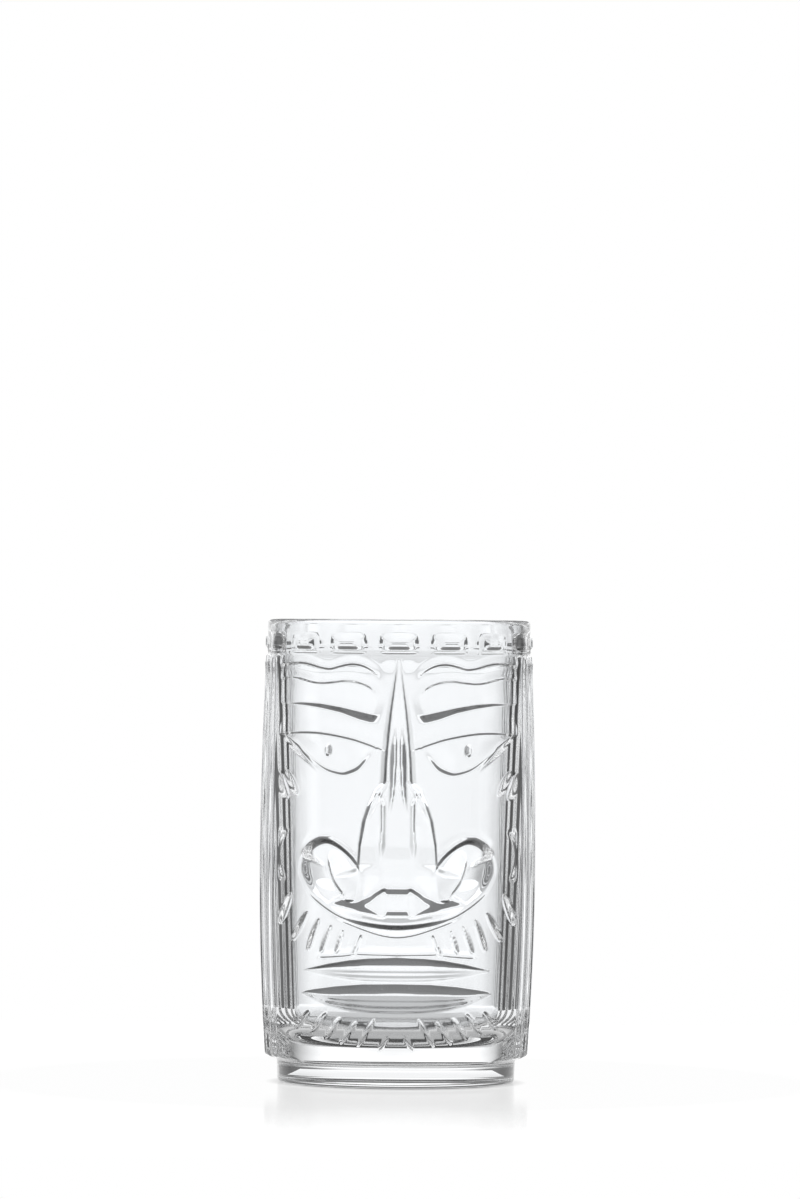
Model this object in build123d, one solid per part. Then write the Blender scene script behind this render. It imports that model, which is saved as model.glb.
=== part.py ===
"""A clear pressed-glass tumbler with a stylised tiki face moulded into its front.

The tumbler stands on Z = 0 with its axis on Z, and the face looks along -Y. It is one piece of
glass, so the model is one solid. Lengths are in millimetres and angles in degrees.
"""

from build123d import *
import os

# Body: a slight barrel under the headband, standing on a narrower foot
height = 137.0
rim_radius = 38.9
lip_round = 1.1
panel_top_radius = 38.4
panel_belly_radius = 38.5
panel_foot_radius = 35.9
belly_height = 65.0
foot_height = 7.0
foot_radius = 35.3
foot_edge_radius = 35.1
foot_corner = 1.2
recess_radius = 28.0
recess_depth = 0.4

# Cavity: the plunger's cone, rounded into its floor along a quarter of an ellipse
mouth_radius = 36.4
corner_radius = 32.9
corner_width = 16.0
corner_height = 11.0
floor_height = 11.8

# Headband: a plain band under the rim with a row of bevelled blocks
band_bottom = 126.5
block_count = 16
block_proud = 0.75
block_width, block_low, block_high = 11.2, 127.7, 132.6
block_face_width, block_face_low, block_face_high = 5.8, 129.5, 131.0

# Vertical ribs, side by side on both flanks
ribs_per_side = 6
rib_pitch = 7.7
rib_radius = 8.0
rib_belly_crest = 41.0
rib_foot_crest = 38.9
rib_top_crest = 39.4
rib_bottom = 7.4

# Relief of the face, measured square to the glass
nose_proud = 2.3
moustache_proud = 1.0
brow_proud = 1.0
lid_proud = 0.6
eyeball_proud = 0.3
lip_depth = 1.1
crease_depth = 0.9
stroke_depth = 0.9
wave_depth = 0.4
wave_width = 0.9

deep = 60.0  # longer than any radius, so that an extrusion runs right out of the glass

# Outlines of the face in front view: (distance from the middle, height above the table).
# Each is the right half and is mirrored.
bridge = [(0, 125), (0.8, 121.3), (2.1, 110.5), (3.3, 96.7), (3.6, 89.6)]
nostril_wing = [(3.6, 89.6), (5.7, 87.1), (7.8, 82.6), (9.4, 78.4), (10.8, 71), (11.1, 63)]
moustache_top = [(11.1, 63), (15.1, 68.9), (21, 72.3), (25.6, 70.9), (28.3, 66)]
moustache_bottom = [(28.3, 66), (25.8, 57.1), (16.6, 50.4), (7.7, 48), (0, 47.4)]
brow_top = [(34.6, 112.2), (24, 114.8), (4.4, 113.2)]
brow_end = [(4.4, 113.2), (6.2, 105.8)]
brow_bottom = [(6.2, 105.8), (16.8, 109.4), (27.5, 111.6), (34.6, 112.2)]
lid_top = [(33.8, 105.6), (20, 106.4), (6.8, 102.6)]
lid_bottom = [(6.8, 99.8), (20.7, 103.2), (33.8, 103.4)]
eye_bottom = [(32.4, 102.8), (25.6, 95.8), (17, 91.7), (10.6, 94), (7.2, 99.2)]
eye_top = [(7.2, 99.2), (20.7, 103.0), (32.4, 103.0)]
upper_lip_top = [(27.3, 34.4), (14, 37.5), (0, 38.6)]
upper_lip_bottom = [(0, 31.4), (14, 31.9), (27.3, 34.4)]
lower_lip_top = [(27.6, 28), (14, 30.3), (0, 30.8)]
lower_lip_bottom = [(0, 22.2), (16, 23.3), (27.6, 28)]
forehead_waves = [
    [(6.5, 121), (13.6, 124), (19.8, 122.6), (28.2, 124.3), (34.2, 122.8)],
    [(6.6, 115.6), (14.6, 119.1), (22, 118.4), (30, 119.8), (34.2, 119.2)],
]
ear_edge = [(32, 74.2), (34.1, 68), (32.4, 60.6)]

# Leaf-shaped strokes cut into the glass: (upper end, lower end, width)
nose_creases = [
    ((1.2, 104), (2.5, 80.5), 1.3),
    ((4.0, 84), (4.3, 67.4), 1.1),
]
moustache_strokes = [
    ((31.2, 56.4), (33.6, 47.6), 1.9),
    ((26.4, 51.4), (30.4, 43), 1.8),
    ((22.9, 49.4), (26, 40.2), 1.8),
    ((19.3, 47.6), (22.2, 39.6), 1.7),
    ((15.8, 46.2), (17.8, 39.4), 1.6),
    ((10.4, 45), (12.7, 39), 1.5),
]
beard_strokes = [
    ((25.6, 22.4), (29.4, 17.2), 1.7),
    ((20.7, 21.8), (24.8, 16.2), 1.7),
    ((16.6, 20.6), (20.8, 14.6), 1.7),
    ((11.6, 19.8), (16.2, 13.4), 1.7),
    ((6.4, 20.4), (11, 13), 1.6),
    ((2.2, 15.6), (5, 11.8), 1.3),
]
cheek_strokes = [
    ((35.2, 93.4), (32.2, 84.6), 2.6),
    ((32.4, 92.4), (29.4, 85.6), 1.8),
]


def arched(foot, belly_radius, top):
    """The two arcs of a barrel's side, upright where they meet; foot and top are (r, z)."""
    belly = (belly_radius, belly_height)
    return [TangentArc(belly, foot, tangent=(0, -1)), TangentArc(belly, top, tangent=(0, 1))]


def barrel(offset=0.0):
    """The body between foot and headband as a full solid, with its side moved out by offset."""
    foot = (panel_foot_radius + offset, foot_height)
    top = (panel_top_radius + offset, band_bottom)
    side = arched(foot, panel_belly_radius + offset, top)
    ends = Polyline(top, (0, band_bottom), (0, foot_height), foot)
    return revolve(make_face([Plane.XZ * edge for edge in [*side, ends]]), Axis.Z)


def foot_disc():
    """The plain, slightly tapered disc that the tumbler stands on, with a shallow recess under it."""
    disc = Pos(Z=foot_height / 2) * Cone(foot_edge_radius, foot_radius, foot_height)
    disc = fillet(disc.edges().group_by(Axis.Z)[0], foot_corner)
    return disc - Pos(Z=recess_depth / 2) * Cylinder(recess_radius, recess_depth)


def headband():
    """The rim's plain band and its row of blocks, which are pyramids cut off flat."""
    depth = height - band_bottom
    band = Pos(Z=band_bottom + depth / 2) * Cylinder(rim_radius, depth)
    band = fillet(band.edges().group_by(Axis.Z)[-1], lip_round)
    base = Rectangle(block_width, block_high - block_low)
    face = Rectangle(block_face_width, block_face_high - block_face_low)
    base_plane = Plane.XZ.offset(rim_radius - block_proud)
    face_plane = Plane.XZ.offset(rim_radius + block_proud)
    block = loft([
        base_plane * Pos(0, (block_low + block_high) / 2) * base,
        face_plane * Pos(0, (block_face_low + block_face_high) / 2) * face,
    ])
    return band + [Rot(Z=turn * 360 / block_count) * block for turn in range(block_count)]


def cavity():
    """The inside: a cone that rounds softly into a flat floor."""
    middle = (corner_radius - corner_width, floor_height + corner_height)
    corner = EllipticalCenterArc(middle, corner_width, corner_height, start_angle=270, arc_size=90)
    ends = Polyline(corner @ 1, (mouth_radius, height), (0, height), (0, floor_height), corner @ 0)
    return revolve(make_face([Plane.XZ * corner, Plane.XZ * ends]), Axis.Z)


def side_ribs():
    """Round bars that follow the barrel side by side, centred on +X and -X."""
    foot = (rib_foot_crest - rib_radius, rib_bottom)
    top = (rib_top_crest - rib_radius, band_bottom)
    lower, upper = arched(foot, rib_belly_crest - rib_radius, top)
    path = Wire([Plane.XZ * lower, Plane.XZ * upper])
    bar = sweep(Plane(origin=path @ 0, z_dir=path % 0) * Circle(rib_radius), path=path)
    middle = (ribs_per_side - 1) / 2
    turns = [side + rib_pitch * (place - middle) for side in (0, 180) for place in range(ribs_per_side)]
    return [Rot(Z=turn) * bar for turn in turns]


def prism(outline):
    """Everything in front of the axis inside an outline drawn in front view."""
    return extrude(Plane.XZ * outline, deep)


def both_sides(shape):
    return [shape, mirror(shape, Plane.YZ)]


def raised(outline, proud):
    """A plateau that stands out from the barrel by proud, on both halves of the face."""
    return both_sides(prism(outline) & barrel(proud))


def sunk(outline, depth):
    """A pocket in the barrel, as the shape to take away, on both halves of the face."""
    return both_sides(prism(outline) - barrel(-depth))


def leaf(upper, lower, width):
    """A stroke's outline: two arcs between its ends."""
    start, end = Vector(*upper), Vector(*lower)
    middle = (start + end) / 2
    half = (end - start).normalized().rotate(Axis.Z, 90) * (width / 2)
    return make_face([ThreePointArc(start, middle + half, end), ThreePointArc(end, middle - half, start)])


def nose():
    """The bridge and the nostril wings, ending in a straight edge over the upper lip, with two creases."""
    outline = make_face([
        Polyline(*bridge),
        Spline(*nostril_wing),
        Line(nostril_wing[-1], (0, nostril_wing[-1][1])),
        Line((0, nostril_wing[-1][1]), bridge[0]),
    ])
    creases = []
    for upper, lower, width in nose_creases:
        creases += sunk(leaf(upper, lower, width), crease_depth - nose_proud)
    return Part() + raised(outline, nose_proud) - creases


def moustache():
    """The moustache, curled up at both ends, with the bulging upper lip between them."""
    outline = make_face([
        Line((0, moustache_top[0][1]), moustache_top[0]),
        Spline(*moustache_top),
        Spline(*moustache_bottom),
        Line(moustache_bottom[-1], (0, moustache_top[0][1])),
    ])
    return raised(outline, moustache_proud)


def brows_and_lids():
    brow = make_face([Spline(*brow_top), Line(*brow_end), Spline(*brow_bottom)])
    lid = make_face([
        Spline(*lid_top),
        Line(lid_top[-1], lid_bottom[0]),
        Spline(*lid_bottom),
        Line(lid_bottom[-1], lid_top[0]),
    ])
    return raised(brow, brow_proud) + raised(lid, lid_proud)


def eyeballs():
    """Low plateaus under the lids."""
    outline = make_face([Spline(*eye_bottom), Spline(*eye_top), Line(eye_top[-1], eye_bottom[0])])
    return raised(outline, eyeball_proud)


def lips():
    cuts = []
    for top, bottom in ((upper_lip_top, upper_lip_bottom), (lower_lip_top, lower_lip_bottom)):
        half = make_face([Spline(*top), Spline(*bottom), Line(bottom[0], top[-1])])
        cuts += sunk(half, lip_depth)
    return cuts


def strokes():
    """The cut strokes of moustache, beard and cheeks."""
    cuts = []
    for upper, lower, width in moustache_strokes + beard_strokes + cheek_strokes:
        cuts += sunk(leaf(upper, lower, width), stroke_depth)
    return cuts


def waves():
    """Thin wavy lines across the forehead, and the curved edge of each ear."""
    cuts = []
    for line in forehead_waves + [ear_edge]:
        cuts += sunk(trace(Spline(*line), wave_width), wave_depth)
    return cuts


def tumbler():
    glass = barrel() + foot_disc() + headband() + side_ribs()
    glass += moustache() + brows_and_lids() + eyeballs()
    glass += nose()
    glass -= lips() + strokes() + waves()
    glass -= cavity()
    mouth = glass.edges().group_by(Axis.Z)[-1].sort_by(SortBy.RADIUS)[0]
    return fillet(mouth, lip_round)


os.makedirs("parts", exist_ok=True)
export_step(tumbler(), "parts/tumbler.step")
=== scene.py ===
"""A clear pressed-glass tumbler with a tiki face in relief, on a white table in a bright-field studio.

The glass is one watertight mesh. Its outside is the CAD model's barrel with a relief on it: each
crease, bevel and stroke of the face is a height above the barrel, drawn in front view as (distance from
the middle, height above the table) in millimetres. The inside is the plunger's cone.
"""

import math

import bpy
import numpy as np
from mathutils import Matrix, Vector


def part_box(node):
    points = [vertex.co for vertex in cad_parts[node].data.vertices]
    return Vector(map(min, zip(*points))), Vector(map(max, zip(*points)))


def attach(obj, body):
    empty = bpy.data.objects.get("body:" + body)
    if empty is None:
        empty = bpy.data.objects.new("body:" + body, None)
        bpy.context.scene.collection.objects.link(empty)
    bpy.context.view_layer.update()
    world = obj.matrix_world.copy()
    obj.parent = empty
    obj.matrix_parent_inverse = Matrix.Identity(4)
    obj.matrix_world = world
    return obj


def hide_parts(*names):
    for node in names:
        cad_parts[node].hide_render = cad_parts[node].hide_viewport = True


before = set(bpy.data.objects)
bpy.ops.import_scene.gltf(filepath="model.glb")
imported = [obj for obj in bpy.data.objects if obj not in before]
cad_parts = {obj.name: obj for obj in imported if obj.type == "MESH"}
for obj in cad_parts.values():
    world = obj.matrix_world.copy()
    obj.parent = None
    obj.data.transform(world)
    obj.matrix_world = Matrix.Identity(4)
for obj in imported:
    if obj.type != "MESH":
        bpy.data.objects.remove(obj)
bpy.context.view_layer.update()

MM = 0.001

# The body, in millimetres, as the CAD model has it
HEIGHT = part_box("tumbler")[1][2] / MM
RIM_RADIUS = 38.9
PANEL_TOP, PANEL_BELLY, PANEL_FOOT = 38.4, 38.5, 35.9
CREST_TOP, CREST_BELLY, CREST_FOOT = 39.4, 40.92, 38.9
BELLY_HEIGHT = 65.0
BAND_BOTTOM = 126.5
FOOT_HEIGHT, FOOT_RADIUS = 7.0, 35.3
FOOT_EDGE, FOOT_CORNER = 35.1, 1.2
LIP_ROUND = 1.15
MOUTH_RADIUS, FLOOR_RADIUS, FLOOR_HEIGHT = 36.4, 32.6, 11.8
CORNER_WIDTH, CORNER_HEIGHT = 16.0, 11.0

# The ribs on the flanks: angles in degrees, with rounded ends
RIBS_PER_SIDE, RIB_PITCH, RIB_DEPTH = 6, 7.7, 0.6
RIB_BOTTOM, RIB_BOTTOM_ROUND, RIB_TOP_ROUND = 7.4, 1.6, 2.3
SWELLING_BEYOND_RIBS, SWELLING_RISE = 18.0, 30.0

# The headband, which the body flares out to, and its blocks, which run out upward
FLARE_START, FLARE_HEIGHT = 120.5, 6.5
BLOCK_COUNT, BLOCK_PROUD = 16, 0.73
BLOCK_TOP, BLOCK_RUN_OUT = 134.8, 4.0

# The face fades out over the last few degrees before its edge, and nothing of it is drawn further out
FACE_HALF_ANGLE, FACE_FADE = 63.05, 2.5
OFF_THE_FACE = 99.0

# Mesh spacing: the face is fine, the flanks and the back are coarser
NOSE_HALF_ANGLE = 18.0
CHEEK_COLUMNS, NOSE_COLUMNS = 62, 80
FACE_COLUMNS = 2 * CHEEK_COLUMNS + NOSE_COLUMNS
FACE_ROW_STEPS = [(8.8, 20, 26), (20, 40, 64), (40, 60, 62), (60, 74, 34), (74, 91, 34), (91, 126.2, 104)]
FACE_ROWS_PER_STEP = 6
RIB_ZONE_COLUMNS, BACK_COLUMNS = 70, 84


# ---------------------------------------------------------------- curves and cross-sections


def eased(t):
    """0 to 1 with a soft start and end."""
    t = np.clip(t, 0.0, 1.0)
    return t * t * (3 - 2 * t)


def curve_through(points, steps=10):
    """A smooth line through given points (a Catmull-Rom spline)."""
    p = np.array(points, float)
    p = np.vstack([2 * p[0] - p[1], p, 2 * p[-1] - p[-2]])
    t = np.linspace(0, 1, steps, endpoint=False)[:, None]
    out = []
    for a, b, c, d in zip(p[:-3], p[1:-2], p[2:-1], p[3:]):
        out.append(
            0.5 * (2 * b + (c - a) * t + (2 * a - 5 * b + 4 * c - d) * t**2 + (3 * b - a - 3 * c + d) * t**3)
        )
    return np.vstack([*out, p[-2][None]])


def along(line, u, z, reach):
    """For points near a line: signed distance (positive on its left) and place from 0 to 1.

    Points further than reach keep a distance of reach."""
    near = (
        (u > line[:, 0].min() - reach)
        & (u < line[:, 0].max() + reach)
        & (z > line[:, 1].min() - reach)
        & (z < line[:, 1].max() + reach)
    )
    distance = np.full(u.shape, float(reach))
    place = np.zeros(u.shape)
    pu, pz = u[near], z[near]
    best = np.full(pu.shape, reach**2)
    side = np.ones(pu.shape)
    where = np.zeros(pu.shape)
    lengths = np.hypot(*np.diff(line, axis=0).T)
    total, done = lengths.sum(), 0.0
    for (ax, az), (bx, bz), length in zip(line[:-1], line[1:], lengths):
        dx, dz = (bx - ax) / length, (bz - az) / length
        s = np.clip((pu - ax) * dx + (pz - az) * dz, 0, length)
        ex, ez = pu - ax - s * dx, pz - az - s * dz
        d2 = ex * ex + ez * ez
        closer = d2 < best
        best = np.where(closer, d2, best)
        side = np.where(closer, np.sign(dx * ez - dz * ex), side)
        where = np.where(closer, (done + s) / total, where)
        done += length
    distance[near] = np.sqrt(best) * side
    place[near] = where
    return distance, place


def inside(outline, u, z):
    """True for points inside a closed outline."""
    result = np.zeros(u.shape, bool)
    for (ax, az), (bx, bz) in zip(outline, np.roll(outline, -1, axis=0)):
        if az == bz:
            continue
        crossing = (az > z) != (bz > z)
        result ^= crossing & (u < (bx - ax) * (z - az) / (bz - az) + ax)
    return result


def profile(distance, stops):
    """A cross-section through (distance, height) stops, eased between them."""
    places = [s[0] for s in stops]
    heights = [s[1] for s in stops]
    index = np.clip(np.searchsorted(places, distance) - 1, 0, len(places) - 2)
    p, h = np.array(places), np.array(heights)
    t = (distance - p[index]) / (p[index + 1] - p[index])
    return h[index] + (h[index + 1] - h[index]) * eased(t)


def profile_linear(distance, stops):
    """A cross-section through (distance, height) stops with straight lines between them."""
    return np.interp(distance, [s[0] for s in stops], [s[1] for s in stops])


def fade_ends(place, start=0.12, end=0.12):
    """1 along the middle of a line and 0 at its two ends."""
    return eased(place / max(start, 1e-6)) * eased((1 - place) / max(end, 1e-6))


# ---------------------------------------------------------------- the face, as heights over the barrel

REACH = 9.0  # how far the moustache and the bulge look for their edges


def below_line(line, u, z, thickness, rise, fade):
    """A crest that drops to a line: level 1 on top of the drop, fading upward; line runs outward."""
    gap, place = along(line, u, z, fade + 1.0)
    shape = profile_linear(gap, [(-thickness / 2, 0.0), (thickness / 2, 1.0)])
    upward = 1 - eased((gap - thickness / 2) / fade)
    near = np.abs(gap) < fade + 1.0
    return np.where(near, rise * shape * upward, 0.0), place


def groove(line, u, z, widths, depths, valley=0.0):
    """A crease along a line; widths and depths run from its start to its end.

    The deepest place is at valley, from -1 (the right edge) to 1 (the left edge) as seen along the line."""
    gap, place = along(line, u, z, 3.0)
    stops = np.linspace(0, 1, len(widths))
    across = gap / (np.interp(place, stops, widths) / 2)
    depth = np.interp(place, stops, depths)
    walls = np.where(across < valley, (across + 1) / (valley + 1), (1 - across) / (1 - valley))
    return -depth * np.clip(walls, 0, 1)


def waves(u, z):
    """Two creases across the forehead, each a soft swell that drops steeply at its lower edge."""
    upper = [(5.4, 119.0), (6.5, 121.0), (8.5, 122.6), (11, 123.7), (13.8, 124.0), (16.9, 123.4),
             (19.7, 122.6), (22.5, 122.9), (25.9, 123.9), (28.8, 124.3), (32.8, 123.7), (35.2, 122.4)]
    lower = [(5.8, 113.4), (6.6, 115.4), (9.0, 117.6), (12.4, 118.8), (15.8, 119.1), (19.7, 118.6),
             (22.5, 118.4), (25.3, 118.7), (29.0, 119.7), (31.6, 119.9), (35.2, 119.1)]
    total = 0
    for line, rise in ((upper, 0.42), (lower, 0.36)):
        swell, place = below_line(curve_through(line), u, z, 0.5, rise, 2.6)
        total = total + swell * eased(place / 0.15)
    return total


BROW_U = [0, 6.4, 8.7, 11.7, 16.8, 22.4, 27.5, 32.9, 36]
BROW_RIDGE = [109.2, 109.2, 109.7, 110.4, 111.5, 112.4, 112.7, 112.5, 112.3]
BROW_BOTTOM = [106.8, 106.8, 107.0, 107.8, 109.7, 111.0, 111.8, 112.1, 112.1]


def brow(u, z):
    """The brow: a crest over a facet that faces down, thin at the temple and deep by the nose."""
    ridge = np.interp(u, BROW_U, BROW_RIDGE)
    bottom = np.interp(u, BROW_U, BROW_BOTTOM)
    climbed = np.clip(z - bottom, 0, ridge - bottom)
    facet = climbed * (0.36 + 0.14 * climbed / np.maximum(ridge - bottom, 0.2))
    above = 1 - eased((z - ridge) / 8.0)
    end = np.interp(z, [105.6, 109.4, 112.1, 114.0], [6.0, 5.0, 4.2, 4.0])
    return facet * above * np.clip((u - end) / 2.1, 0, 1)


LID_EDGE = [(36, 103.1), (33.2, 103.4), (26.6, 103.9), (20.7, 103.5), (13.9, 102.2), (10.3, 101.1),
            (6.9, 99.9)]
EYE_RIM = [(32.2, 102.8), (30.8, 101.5), (26.3, 96.6), (21.7, 93.1), (17.5, 91.7), (15.0, 91.7), (11.6, 93.2),
           (9.4, 95.6), (7.4, 98.6), (7.0, 99.8)]


def eye(u, z):
    """The lid's edge over a shallow pocket, with a crease at the temple and a small raised pupil."""
    lid = curve_through(LID_EDGE[::-1])
    plate, _ = below_line(lid, u, z, 0.6, 0.45, 5.0)
    rim = curve_through(EYE_RIM)
    gap, place = along(rim, u, z, 7.0)
    weight = np.interp(place, [0, 0.3, 0.6, 0.72, 0.85, 1], [0.5, 0.6, 0.8, 1.2, 1.3, 0.5])
    within = inside(np.vstack([rim, lid]), u, z)
    ball = 0.62 * weight * np.clip((np.abs(gap) - 0.05) / 0.9, 0, 1) * (1 - eased((np.abs(gap) - 1.0) / 6.0))
    pocket = np.where(within, ball * eased((np.interp(u, lid[:, 0], lid[:, 1]) - z) / 4.0), 0.0)
    temple_line = np.array([(33.0, 103.0), (28.5, 97.6), (23.2, 92.6)])
    temple = groove(temple_line, u, z, [0.6, 1.6, 1.2, 0.6], [0.2, 1.0, 0.6, 0.1])
    pupil = 0.8 * np.clip((2.0 - np.hypot((u - 20.4) * 2.2, z - 98.9)) / 0.9, 0, 1)
    return plate + pocket + temple + pupil


NOSE_Z = [57, 62, 65.9, 71, 78.4, 82.6, 87.1, 88.4, 89.6, 96.7, 103, 110.5, 121.3, 125.6]
NOSE_EDGE = [11.2, 11.2, 11.1, 10.75, 9.35, 7.8, 5.65, 4.4, 3.6, 3.3, 2.8, 2.1, 0.78, 0.2]
NOSE_FLARE = [0.5, 0.5, 0.5, 0.6, 0.7, 0.9, 1.2, 1.3, 1.35, 1.35, 1.3, 1.1, 0.7, 0.5]
NOSE_HEIGHT = [0.0, 0.6, 1.5, 2.0, 2.15, 2.2, 2.3, 2.3, 2.3, 2.2, 2.0, 1.65, 0.8, 0.0]


def nose(u, z):
    """The bridge and the nostril wings: a flared foot, a steep flank and a nearly flat, grooved top."""
    edge = np.interp(z, NOSE_Z, NOSE_EDGE)
    flare = np.interp(z, NOSE_Z, NOSE_FLARE)
    height = np.interp(z, NOSE_Z, NOSE_HEIGHT)
    width = np.interp(z, [58, 61.5, 65, 100, 121], [9.0, 4.5, 1.2, 0.75, 0.5])
    share = np.interp(z, [71, 84, 104, 121], [0.15, 0.45, 0.45, 0.2])
    foot = share * np.clip((edge + width / 2 + flare - u) / flare, 0, 1)
    flank = (1 - share) * np.clip((edge + width / 2 - u) / width, 0, 1)
    fold = groove(
        np.array([(2.9, 89.6), (4.7, 87.0), (6.9, 82.4), (8.6, 78.0)]),
        u, z, [0.8, 1.3, 1.3, 0.7], [0.3, 1.0, 0.9, 0.1], -0.6,
    )
    wedge = groove(
        np.array([(1.0, 105.5), (1.45, 98.0), (1.6, 91.0), (1.8, 86.5), (2.15, 83.5), (2.55, 80.5)]),
        u, z, [0.5, 1.7, 2.0, 1.8, 1.4, 0.7], [0.05, 1.4, 1.7, 1.5, 1.1, 0.1], -0.6,
    )
    hook = groove(
        np.array([(5.3, 85.9), (4.5, 85.0), (3.9, 83.2), (3.9, 76.0), (4.1, 71.5), (4.4, 67.4)]),
        u, z, [0.8, 1.4, 1.3, 1.3, 1.8, 0.8], [0.3, 1.2, 1.0, 1.0, 1.4, 0.1], 0.85,
    )
    return height * (foot + flank) + wedge + hook + fold


MOUSTACHE_TOP = [(11.2, 63.2), (12.2, 65.6), (15.1, 68.9), (19.3, 71.7), (22.1, 72.3), (24.9, 71.3),
                 (26.6, 69.7), (27.9, 67.6)]
MOUSTACHE_LOW = [(28.2, 67.0), (28.6, 64.8), (28.4, 62.3), (27.5, 60.2), (25.8, 57.1), (23.4, 54.8),
                 (20.2, 52.4), (16.6, 50.4), (12.1, 48.9), (7.7, 48.0), (3.2, 47.5), (0, 47.4), (-4, 47.5)]
MOUSTACHE_SHADE = [(20.5, 51.3), (16.6, 49.2), (10.6, 46.9), (5.3, 45.2), (1.1, 44.5), (-2, 44.5)]
LINE_OVER_MOUSTACHE = [(11.6, 67.6), (14.2, 70.6), (17.2, 72.8), (20.7, 73.7), (24.0, 73.0), (27.0, 69.8)]
LINE_UNDER_MOUSTACHE = [(21.2, 38.3), (15.1, 38.9), (11.6, 39.5), (10.7, 39.4), (6, 39.3), (-2, 39.2)]


def moustache(u, z):
    """The curled moustache: cut in under the cheek along its top, swelling out to its lower edge."""
    gap, place = along(curve_through(MOUSTACHE_TOP), u, z, REACH)
    cut = profile_linear(-gap, [(-0.8, 0.0), (0.8, 1.7)]) * (1 - eased((-gap - 0.8) / 8.0))
    cut = np.where(np.abs(gap) < REACH, cut, 0) * eased(place / 0.1) * eased((1 - place) / 0.06)
    gap, place = along(curve_through(MOUSTACHE_LOW), u, z, REACH)
    thick = np.interp(place, [0, 0.2, 0.32, 0.45, 0.55, 0.68, 1], [0.6, 0.6, 0.9, 0.7, 0.9, 1.5, 1.6])
    swell = np.interp(place, [0, 0.2, 0.32, 0.45, 0.55, 0.68, 1], [0.3, 0.3, 0.5, 0.5, 0.7, 1.4, 1.7])
    edge = swell * np.clip((thick / 2 - gap) / thick, 0, 1) * (1 - eased((-gap - thick / 2) / 2.6))
    edge = np.where(np.abs(gap) < REACH, edge, 0)
    shade, along_shade = below_line(curve_through(MOUSTACHE_SHADE)[::-1], u, z, 0.6, 0.36, 1.8)
    thin, _ = below_line(curve_through(LINE_UNDER_MOUSTACHE)[::-1], u, z, 0.6, 0.3, 2.2)
    over, along_over = below_line(curve_through(LINE_OVER_MOUSTACHE), u, z, 0.5, 0.3, 2.2)
    return edge - cut + shade * eased((1 - along_shade) / 0.3) + thin + over * fade_ends(along_over)


# The underside of the upper lip's bulge drops between these lines, round a flat lozenge in the middle
BULGE_U = [0, 3.2, 3.4, 4.2, 5.5, 7.5, 9.3, 11.4, 13.0, 14.8, 15.8, 16.6, 19.8]
BULGE_TOP = [58.7, 58.7, 58.9, 58.7, 57.9, 56.7, 55.8, 54.7, 54.4, 54.9, 55.8, 55.1, 54.1]
BULGE_LOW = [50.6, 50.6, 50.0, 49.9, 50.0, 50.6, 51.2, 51.9, 52.7, 53.0, 53.2, 53.3, 53.7]
BULGE_RISE = [1.5, 1.5, 1.5, 1.5, 1.5, 1.75, 2.0, 1.4, 1.0, 1.0, 1.1, 0.9, 0.1]
BULGE_SIDE = [(15.2, 55.4), (16.0, 57.0), (17.0, 58.4), (18.1, 60.2), (19.2, 62.6), (20.1, 65.3),
              (20.4, 67.6), (20.1, 70.2)]
LOZENGE_TOP = [57.0, 57.0, 58.1, 57.7, 56.6, 54.7, 53.6]
LOZENGE_LOW = [52.2, 52.2, 50.9, 50.9, 51.3, 52.6, 53.6]


def bulge(u, z):
    """The upper lip's bulge below the nose, and its undercut seen as a dark bow through the glass."""
    top, low = np.interp(u, BULGE_U, BULGE_TOP), np.interp(u, BULGE_U, BULGE_LOW)
    flat_top = np.interp(u, BULGE_U[:7], LOZENGE_TOP)
    flat_low = np.interp(u, BULGE_U[:7], LOZENGE_LOW)
    flat = np.where(u < 9.0, np.maximum(flat_top - flat_low, 0), 0)
    climbed = np.clip(z - low, 0, top - low) - np.clip(z - flat_low, 0, flat)
    rise = np.interp(u, BULGE_U, BULGE_RISE) * climbed / (top - low - flat)
    under = rise * (1 - eased((z - top) / np.interp(u, [15.0, 16.6], [9.0, 1.6]))) * np.clip(19.8 - u, 0, 1)
    gap, _ = along(curve_through(BULGE_SIDE), u, z, REACH)
    step = profile_linear(gap, [(-0.9, -1.2), (0.9, 1.8)]) * (1 - eased((np.abs(gap) - 0.9) / 7.5))
    step = np.where(np.abs(gap) < REACH, step, 0) * eased((z - 54.0) / 1.5) * (1 - eased((z - 63.0) / 8.0))
    return np.maximum(under, np.maximum(step, 0)) + np.minimum(step, 0) * eased((z - 57.0) / 5.0)


def lip(top, bottom, crease, depth, u, z):
    """One lip: a scoop whose upper wall is short and steep and whose lower wall is long and rippled."""
    upper = np.interp(u, *zip(*top))
    lower = np.interp(u, *zip(*bottom))
    fold = np.interp(u, *zip(*crease))
    down = np.clip((upper - z) / np.maximum(upper - fold, 0.05), 0, 1)
    up = np.clip((z - lower) / np.maximum(fold - lower, 0.05), 0, 1)
    deepest = depth * np.clip((top[-1][0] - u) / 14.0, 0, 1) ** 0.5
    ripple = 0.035 * np.sin(up * 19) * eased(up / 0.15) * eased((1 - up) / 0.25) * eased((24 - u) / 8)
    return -deepest * np.minimum(1.4 * down - 0.4 * down**2, up) - ripple * (z < fold) * (z > lower)


def lips(u, z):
    upper = lip(
        [(0, 38.6), (8, 38.3), (14, 37.6), (20, 36.4), (27.2, 34.3)],
        [(0, 31.4), (8, 31.5), (14, 31.9), (20, 32.7), (27.2, 34.2)],
        [(0, 35.9), (10, 35.8), (20, 35.1), (27.2, 34.25)],
        1.3, u, z,
    )
    lower = lip(
        [(0, 30.9), (10, 30.7), (18, 29.9), (24, 28.8), (27, 28.1), (27.6, 27.5)],
        [(0, 22.2), (8, 22.4), (15, 23.2), (21, 24.7), (25.5, 26.4), (27.6, 27.4)],
        [(0, 27.6), (12, 27.4), (20, 27.1), (27.6, 27.45)],
        1.45, u, z,
    )
    return upper + lower


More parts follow.
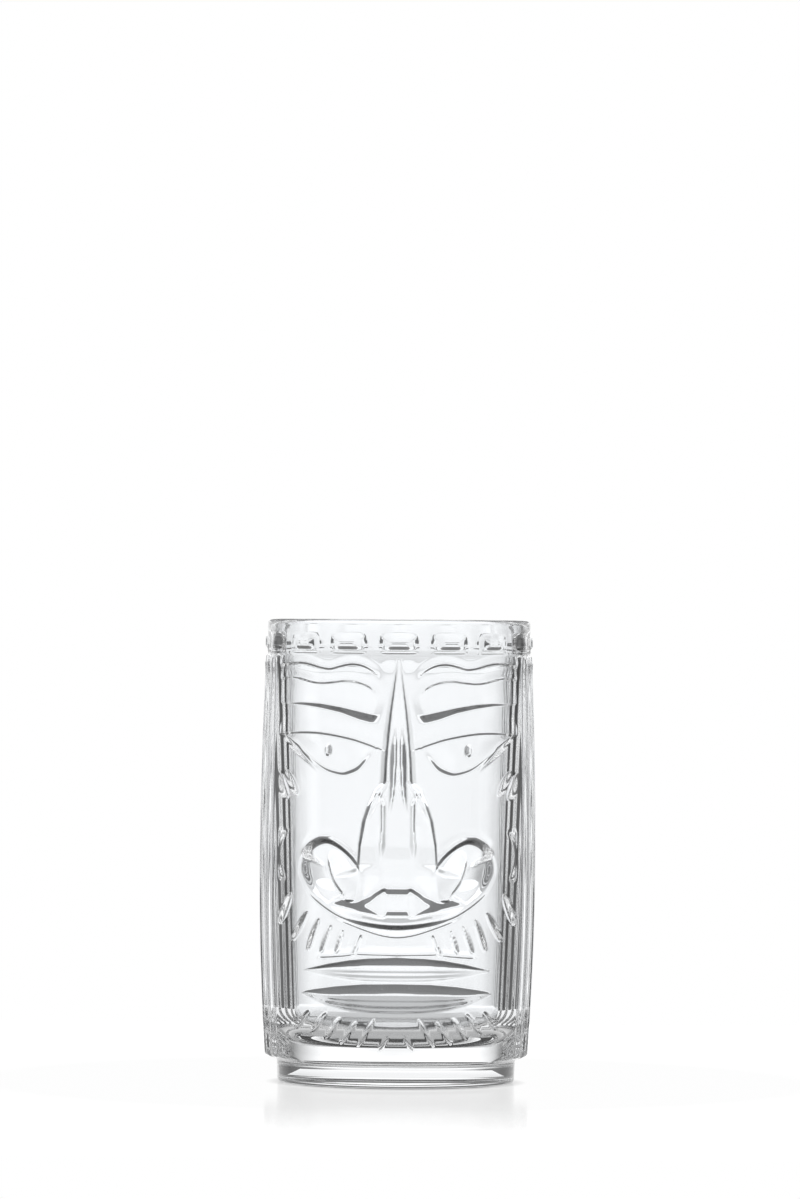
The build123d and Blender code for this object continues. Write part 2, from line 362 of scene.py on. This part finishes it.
MOUSTACHE_STROKES = [
    ((31.2, 56.4), (33.6, 47.6), 1.9),
    ((26.4, 51.4), (30.4, 43.0), 1.8),
    ((22.9, 49.4), (26.0, 40.2), 1.8),
    ((19.3, 47.6), (22.2, 39.6), 1.7),
    ((15.8, 46.2), (17.8, 39.4), 1.6),
    ((10.4, 45.0), (12.7, 39.0), 1.5),
]
BEARD_STROKES = [
    ((25.6, 22.4), (29.4, 17.2), 1.7),
    ((20.7, 21.8), (24.8, 16.2), 1.7),
    ((16.6, 20.6), (20.8, 14.6), 1.7),
    ((11.6, 19.8), (16.2, 13.4), 1.7),
    ((6.4, 20.4), (11.0, 13.0), 1.6),
    ((2.2, 15.6), (5.0, 11.8), 1.3),
]
CHEEK_STROKES = [((35.2, 93.4), (32.2, 84.6), 2.6), ((32.4, 92.4), (29.4, 85.6), 1.8)]


def strokes(u, z):
    """Leaf-shaped cuts of moustache, beard and cheeks."""
    height = 0
    for start, end, width in MOUSTACHE_STROKES + BEARD_STROKES + CHEEK_STROKES:
        gap, place = along(np.array([start, end]), u, z, 3.0)
        half = width / 2 * np.sqrt(np.clip(4 * place * (1 - place), 0.02, 1))
        height = height - 0.85 * np.clip(1 - np.abs(gap) / half, 0, 1)
    return height


def ear(u, z):
    edge = curve_through([(31.6, 75.6), (33.4, 72), (34.1, 68), (33.6, 64), (32.2, 60.2)])
    gap, place = along(edge, u, z, 3.0)
    return profile(gap, [(-0.3, 0.0), (0.4, 0.45), (2.6, 0.0)]) * fade_ends(place)


def relief(x, z):
    u = np.abs(x)
    face = waves(u, z) + brow(u, z) + eye(u, z) + nose(u, z) + moustache(u, z) + bulge(u, z)
    return face + lips(u, z) + strokes(u, z) + ear(u, z)


# ---------------------------------------------------------------- the glass


def barrel(z, top, belly, foot):
    """Radius of a barrel's side at height z."""
    upper = (top - belly) * ((z - BELLY_HEIGHT) / (BAND_BOTTOM - BELLY_HEIGHT)) ** 2
    lower = (foot - belly) * ((z - BELLY_HEIGHT) / (FOOT_HEIGHT - BELLY_HEIGHT)) ** 2
    return belly + np.where(z > BELLY_HEIGHT, upper, lower)


def ribs(angle, z):
    """How far the ribs stand out from the barrel: a soft-edged swelling on both flanks, fluted upright."""
    crest = barrel(z, CREST_TOP, CREST_BELLY, CREST_FOOT) - barrel(z, PANEL_TOP, PANEL_BELLY, PANEL_FOOT)
    off = np.abs(np.abs((angle + 180) % 360 - 180) - 90)
    half = RIBS_PER_SIDE / 2 * RIB_PITCH
    swelling = eased((half + SWELLING_BEYOND_RIBS - off) / SWELLING_RISE)
    flute = RIB_DEPTH * (0.5 + 0.5 * np.cos(2 * np.pi * off / RIB_PITCH)) * eased((half + 1 - off) / 3)
    return np.maximum(crest * swelling - flute, 0)


def body_radius(angle, z):
    """Radius of the outside between foot and headband: barrel, relief and ribs."""
    angle, z = np.broadcast_arrays(angle, z)
    panel = barrel(z, PANEL_TOP, PANEL_BELLY, PANEL_FOOT)
    off_middle = np.abs((angle + 180) % 360 - 180)
    front = off_middle <= FACE_HALF_ANGLE
    x = panel * np.sin(np.radians(angle))
    face = np.where(front, relief(np.where(front, x, OFF_THE_FACE), z), 0)
    face = face * eased((FACE_HALF_ANGLE - off_middle) / FACE_FADE)
    below_round = np.clip((RIB_BOTTOM + RIB_BOTTOM_ROUND - z) / RIB_BOTTOM_ROUND, 0, 1)
    above_round = np.clip((z - BAND_BOTTOM + RIB_TOP_ROUND) / RIB_TOP_ROUND, 0, 1)
    rib_ends = np.sqrt(1 - below_round**2) * np.sqrt(1 - above_round**2)
    flare = (RIM_RADIUS - PANEL_TOP) * eased((z - FLARE_START) / FLARE_HEIGHT)
    return panel + face + ribs(angle, z) * rib_ends + flare


def band_radius(angle, z):
    """Radius of the headband: plain, with blocks that have a low base and a bevelled face."""
    pitch = 360 / BLOCK_COUNT
    off = np.radians((angle + pitch / 2) % pitch - pitch / 2) * RIM_RADIUS
    base = eased((6.0 - np.abs(off)) / 1.6) * np.interp(z, [127.1, 127.4], [0, 0.25])
    face = eased((5.0 - np.abs(off)) / 3.6) * np.interp(z, [128.3, 129.3], [0, 0.75])
    return RIM_RADIUS + BLOCK_PROUD * (base + face) * eased((BLOCK_TOP - z) / BLOCK_RUN_OUT)


def column_angles():
    """Angles round the axis, from the face's left edge round to it again."""
    half, ribs_end = FACE_HALF_ANGLE, 180 - FACE_HALF_ANGLE
    zones = [
        (-half, -NOSE_HALF_ANGLE, CHEEK_COLUMNS),
        (-NOSE_HALF_ANGLE, NOSE_HALF_ANGLE, NOSE_COLUMNS),
        (NOSE_HALF_ANGLE, half, CHEEK_COLUMNS),
        (half, ribs_end, RIB_ZONE_COLUMNS),
        (ribs_end, 360 - ribs_end, BACK_COLUMNS),
        (360 - ribs_end, 360 - half, RIB_ZONE_COLUMNS),
    ]
    return np.concatenate([np.linspace(a, b, n, endpoint=False) for a, b, n in zones])


class Skin:
    """Collects the rows of a closed skin and the faces between them."""

    def __init__(self):
        self.points, self.faces, self.count = [], [], 0

    def row(self, angle, radius, z):
        turn = np.radians(angle)
        radius, z = np.broadcast_to(radius, turn.shape), np.broadcast_to(z, turn.shape)
        self.points.append(np.stack([radius * np.sin(turn), -radius * np.cos(turn), z], axis=1))
        first = self.count
        self.count += len(turn)
        return np.arange(first, self.count)

    def join(self, low, high):
        """Faces between two rows, of which one may have several times as many points."""
        n = min(len(low), len(high))
        a, b = len(low) // n, len(high) // n
        for k in range(n):
            lower = [low[(k * a + i) % len(low)] for i in range(a + 1)]
            upper = [high[(k * b + i) % len(high)] for i in range(b + 1)]
            self.faces.append([*lower, *reversed(upper)])


def base_rows(skin, angles):
    """The underside's recess and resting ring, the foot disc, and the body's rounded lower edge."""
    half_angles, quarter_angles = angles[::2], angles[::4]
    recess = [(2.0, 0.4), (12, 0.4), (22, 0.4)]
    resting_ring = [(27.2, 0.38), (27.9, 0.2), (28.7, 0.02), (30, 0.0), (32, 0.0)]
    corner = [
        (FOOT_EDGE - FOOT_CORNER + FOOT_CORNER * math.sin(t), FOOT_CORNER - FOOT_CORNER * math.cos(t))
        for t in np.radians(np.arange(0, 91, 15))
    ]
    taper = (FOOT_RADIUS - FOOT_EDGE) / (FOOT_HEIGHT - FOOT_CORNER)
    side = [(FOOT_EDGE + taper * (z - FOOT_CORNER), z) for z in (FOOT_CORNER + 0.3, 3.0, 5.0, 6.3)]
    step = [(FOOT_RADIUS + 0.08, 6.75), (FOOT_RADIUS + 0.35, 6.98)]
    rows = [skin.row(quarter_angles, r, z) for r, z in recess]
    skin.faces.append(list(reversed(rows[0])))
    rows += [skin.row(half_angles, r, z) for r, z in resting_ring + corner + side + step]
    rows.append(skin.row(angles, PANEL_FOOT - 0.08, 7.12))
    rows += [skin.row(angles, body_radius(angles, z), z) for z in (RIB_BOTTOM, 7.42, 7.5, 7.65, 7.9, 8.3)]
    return rows


def body_rows(skin, angles):
    """The body: fine rows all over the face, and every sixth row elsewhere. Gives its end rows."""
    fine = np.concatenate([*(np.linspace(a, b, n, endpoint=False) for a, b, n in FACE_ROW_STEPS), [126.2]])
    grid = np.full((len(fine), len(angles)), -1)
    radii = body_radius(angles[None, :], fine[:, None])
    on_face = np.arange(len(angles)) <= FACE_COLUMNS
    everywhere = np.ones(len(angles), bool)
    for i, z in enumerate(fine):
        columns = everywhere if i % FACE_ROWS_PER_STEP == 0 else on_face
        grid[i, columns] = skin.row(angles[columns], radii[i, columns], z)
    for i in range(len(fine) - 1):
        for j in range(FACE_COLUMNS):
            skin.faces.append([grid[i, j], grid[i, j + 1], grid[i + 1, j + 1], grid[i + 1, j]])
    for i in range(0, len(fine) - 1, FACE_ROWS_PER_STEP):
        top = i + FACE_ROWS_PER_STEP
        for j in range(FACE_COLUMNS, len(angles)):
            k = (j + 1) % len(angles)
            left = [grid[m, j] for m in range(top, i, -1) if grid[m, j] >= 0]
            right = [grid[m, k] for m in range(i, top) if grid[m, k] >= 0]
            skin.faces.append([grid[i, j], *right, grid[top, k], *left])
    return grid[0], grid[-1]


def rim_rows(skin, angles):
    """The headband with its blocks, and the rounded lip."""
    bevel_rows = (127.0, 127.12, 127.26, 127.4, 128.0, 128.25, 128.35, 128.8, 129.25, 129.35)
    rows = [
        skin.row(angles, band_radius(angles, z), z)
        for z in (BAND_BOTTOM, *bevel_rows, 130.2, 131.2, 132.2)
    ]
    rows += [skin.row(angles[::2], RIM_RADIUS, z) for z in (133.0, 133.5, 135.4)]
    middle, half_wall = (RIM_RADIUS + MOUTH_RADIUS) / 2, (RIM_RADIUS - MOUTH_RADIUS) / 2
    for t in np.radians(np.arange(0, 181, 20)):
        height = HEIGHT - LIP_ROUND + LIP_ROUND * math.sin(t)
        rows.append(skin.row(angles[::2], middle + half_wall * math.cos(t), height))
    return rows


def cavity_rows(skin, angles):
    """The inside: a cone that rounds into the floor along a quarter of an ellipse."""
    slope = (MOUTH_RADIUS - FLOOR_RADIUS) / (HEIGHT - FLOOR_HEIGHT)
    corner_top = FLOOR_HEIGHT + CORNER_HEIGHT
    corner_radius = MOUTH_RADIUS - slope * (HEIGHT - corner_top)
    wall = [(MOUTH_RADIUS - slope * (HEIGHT - z), z) for z in np.linspace(HEIGHT - 4, corner_top, 22)]
    corner = [
        (corner_radius - CORNER_WIDTH * (1 - math.cos(t)), corner_top - CORNER_HEIGHT * math.sin(t))
        for t in np.radians(np.arange(6, 91, 6))
    ]
    floor = [(12, FLOOR_HEIGHT), (7, FLOOR_HEIGHT), (2, FLOOR_HEIGHT)]
    return [skin.row(angles[::4], r, z) for r, z in wall + corner + floor]


def make_glass():
    skin = Skin()
    angles = column_angles()
    base = base_rows(skin, angles)
    body_bottom, body_top = body_rows(skin, angles)
    upper = [body_top, *rim_rows(skin, angles), *cavity_rows(skin, angles)]
    skin.faces.append(list(upper[-1]))
    for rows in (base + [body_bottom], upper):
        for low, high in zip(rows[:-1], rows[1:]):
            skin.join(low, high)

    mesh = bpy.data.meshes.new("tiki_tumbler_glass")
    mesh.from_pydata((np.vstack(skin.points) * MM).tolist(), [], [list(map(int, f)) for f in skin.faces])
    mesh.validate()
    mesh.shade_smooth()
    glass = bpy.data.objects.new("tiki_tumbler_glass", mesh)
    bpy.context.scene.collection.objects.link(glass)
    return glass


# ---------------------------------------------------------------- materials and studio


class Tree:
    """Short ways to add nodes to an emptied node tree."""

    def __init__(self, owner):
        owner.use_nodes = True
        self.nodes, self.links = owner.node_tree.nodes, owner.node_tree.links
        self.nodes.clear()

    def feed(self, socket, value):
        """Links an output to a socket, or sets the socket to a plain value."""
        if isinstance(value, bpy.types.NodeSocket):
            self.links.new(value, socket)
        else:
            socket.default_value = value

    def add(self, kind, **inputs):
        node = self.nodes.new("ShaderNode" + kind)
        for name, value in inputs.items():
            self.feed(node.inputs[name.replace("_", " ")], value)
        return node

    def math(self, operation, first, second=0.0):
        node = self.add("Math")
        node.operation = operation
        self.feed(node.inputs[0], first)
        self.feed(node.inputs[1], second)
        return node.outputs[0]

    def ramp(self, value, start, end, at_start, at_end, interpolation="LINEAR"):
        node = self.add("MapRange", Value=value, From_Min=start, From_Max=end, To_Min=at_start, To_Max=at_end)
        node.interpolation_type = interpolation
        return node.outputs["Result"]

    def split(self, vector):
        return self.add("SeparateXYZ", Vector=vector).outputs

    def mix(self, share, first, second):
        node = self.add("MixShader", Fac=share)
        self.links.new(first.outputs[0], node.inputs[1])
        self.links.new(second.outputs[0], node.inputs[2])
        return node.outputs[0]


def glass_material():
    """Clear glass with faint upright flow lines and a slightly uneven polish."""
    material = bpy.data.materials.new("clear_pressed_glass")
    tree = Tree(material)
    place = tree.add("TexCoord").outputs["Object"]
    streaks = tree.add("Mapping", Vector=place, Scale=(1.0, 1.0, 0.25)).outputs["Vector"]
    flow = tree.add("TexNoise", Vector=streaks, Scale=160.0, Detail=1.0).outputs["Fac"]
    ripple = tree.add("Bump", Strength=0.12, Distance=0.00015, Height=flow)
    wear = tree.add("TexNoise", Vector=place, Scale=900.0).outputs["Fac"]
    shader = tree.add(
        "BsdfPrincipled",
        Base_Color=(0.972, 0.982, 0.992, 1),
        Transmission_Weight=1.0,
        IOR=1.52,
        Normal=ripple.outputs["Normal"],
        Roughness=tree.ramp(wear, 0.35, 0.75, 0.0, 0.02),
    )
    tree.add("OutputMaterial", Surface=shader.outputs[0])
    return material


def painted_shade_under_glass(tree, distance):
    """The table's painted brightness near the glass's axis: painted shade, darker in a ring under the base.
    """
    ramp = tree.add("ValToRGB", Fac=tree.ramp(distance, 0.0, 0.04, 0.0, 1.0))
    elements = ramp.color_ramp.elements
    stops = ((0.0, 1.0), (0.22, 1.0), (0.27, 0.04), (0.5, 0.04), (0.54, 0.42), (0.78, 0.42), (0.97, 1.0))
    for place, grey in stops[1:-1]:
        elements.new(place).color = (grey, grey, grey, 1)
    for element, (place, grey) in zip(elements, stops):
        element.position, element.color = place, (grey, grey, grey, 1)
    return ramp.outputs["Color"]


def floor_material():
    """White acrylic lit from below, which mirrors a little at a flat angle.

    Painted shade darkens it in a ring under the base, and painted shadow in a soft patch behind the glass."""
    material = bpy.data.materials.new("white_acrylic_table")
    tree = Tree(material)
    place = tree.add("TexCoord").outputs["Object"]
    x, y, _ = tree.split(place)
    length = tree.add("VectorMath", Vector=place)
    length.operation = "LENGTH"
    distance = length.outputs["Value"]
    # Painted light: the table glows brighter further from the glass.
    painted_glow_far_out = tree.ramp(distance, 0.12, 0.3, 1.05, 1.6)
    # Painted shadow: the table's glow is lower in a soft patch just behind the glass, between these edges.
    beside = tree.ramp(tree.math("ABSOLUTE", x), 0.018, 0.036, 0.6, 1.0)
    far_behind = tree.ramp(y, 0.045, 0.085, 0.0, 1.0)
    in_front = tree.math("LESS_THAN", y, 0.02)
    painted_shadow_behind = tree.math("MAXIMUM", tree.math("MAXIMUM", beside, far_behind), in_front)
    # The table's glow: painted shade under the base, times painted light further out.
    level = tree.math("MULTIPLY", painted_shade_under_glass(tree, distance), painted_glow_far_out)
    glow = tree.add("Emission", Strength=tree.math("MULTIPLY", level, painted_shadow_behind))
    gloss = tree.add("BsdfGlossy", Roughness=0.12)
    facing = tree.add("LayerWeight", Blend=0.5).outputs["Facing"]
    share = tree.ramp(facing, 0.8, 0.935, 0.06, 0.3)
    tree.add("OutputMaterial", Surface=tree.mix(share, glow, gloss))
    return material


def make_floor():
    half_width, half_depth = 0.15, 0.3
    mesh = bpy.data.meshes.new("table")
    corners = [(x * half_width, y * half_depth, 0) for x, y in ((-1, -1), (1, -1), (1, 1), (-1, 1))]
    mesh.from_pydata(corners, [], [(0, 1, 2, 3)])
    floor = bpy.data.objects.new("table", mesh)
    bpy.context.scene.collection.objects.link(floor)
    floor.data.materials.append(floor_material())


def studio_light(tree):
    """How bright the studio is in each direction.

    A soft panel stands behind the glass at table height, with weaker ones at both sides. Light comes
    up from beyond the table and weakly from overhead, and it is dark between them."""

    def fade(value, start, end, at_start, at_end):
        return tree.ramp(value, math.radians(start), math.radians(end), at_start, at_end, "SMOOTHSTEP")

    x, y, z = tree.split(tree.add("TexCoord").outputs["Generated"])
    elevation = tree.math("ARCSINE", z)
    azimuth = tree.math("ABSOLUTE", tree.math("ADD", tree.math("ARCTAN2", x, y), math.radians(2.5)))
    off_side = tree.math("ABSOLUTE", tree.math("SUBTRACT", azimuth, math.radians(90)))

    near = tree.math("MULTIPLY", fade(azimuth, 0, 28, 1.16, 0.84), fade(azimuth, 20, 38, 1.0, 0.2))
    behind = tree.math("MULTIPLY", near, fade(azimuth, 38, 58, 1.0, 0.3))
    around = tree.math("MAXIMUM", behind, fade(off_side, 8, 13, 0.5, 0.0))
    upward = tree.math("MULTIPLY", fade(elevation, -4, 10.5, 1.16, 0.2), fade(elevation, 11, 22, 1.0, 0.15))
    panels = tree.math("MINIMUM", around, upward)

    strip_off = tree.math("ABSOLUTE", tree.math("SUBTRACT", elevation, math.radians(4.2)))
    strip = tree.math("MULTIPLY", fade(strip_off, 2.4, 3.6, 1.0, 0.0), fade(azimuth, 24, 56, 1.16, 0.2))

    sides = fade(azimuth, 62, 68, 0.0, 0.5)
    sideways_down = tree.math("MULTIPLY", fade(elevation, -14, -10.5, 1.05, 0.0), sides)
    below = tree.math("MAXIMUM", fade(elevation, -26, -22, 1.05, 0.0), sideways_down)
    overhead = fade(elevation, 50, 70, 0.0, 0.6)
    return tree.math("MAXIMUM", tree.math("MAXIMUM", panels, strip), tree.math("MAXIMUM", below, overhead))


def make_world():
    """The studio's light on the glass, with plain white behind it for the camera."""
    world = bpy.data.worlds.new("bright_field")
    bpy.context.scene.world = world
    tree = Tree(world)
    studio = tree.add("Background", Color=(1, 1, 1, 1), Strength=studio_light(tree))
    backdrop = tree.add("Background", Color=(1, 1, 1, 1), Strength=1.0)
    seen_directly = tree.add("LightPath").outputs["Is Camera Ray"]
    tree.add("OutputWorld", Surface=tree.mix(seen_directly, studio, backdrop))


def make_camera():
    """A level view from far away, a little above the rim's height and rolled by half a degree."""
    distance, above_table, picture_height, roll = 2.2, 0.143, 0.3555, -0.46
    data = bpy.data.cameras.new("camera")
    data.sensor_width = 36.0
    data.lens = data.sensor_width * distance / picture_height
    data.clip_end = 20.0
    camera = bpy.data.objects.new("camera", data)
    bpy.context.scene.collection.objects.link(camera)
    camera.location = (0.00013, -distance, above_table)
    camera.rotation_euler = (math.radians(90), math.radians(roll), 0)
    bpy.context.scene.camera = camera


scene = bpy.context.scene
scene.view_settings.view_transform = "Standard"

# Light is reflected many times inside the thick base and the ribs
bounces = 32
scene.cycles.transmission_bounces = bounces
scene.cycles.glossy_bounces = bounces
scene.cycles.max_bounces = bounces

make_camera()
make_world()
make_floor()
glass = make_glass()
glass.data.materials.append(glass_material())
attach(glass, "root")
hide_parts("tumbler")
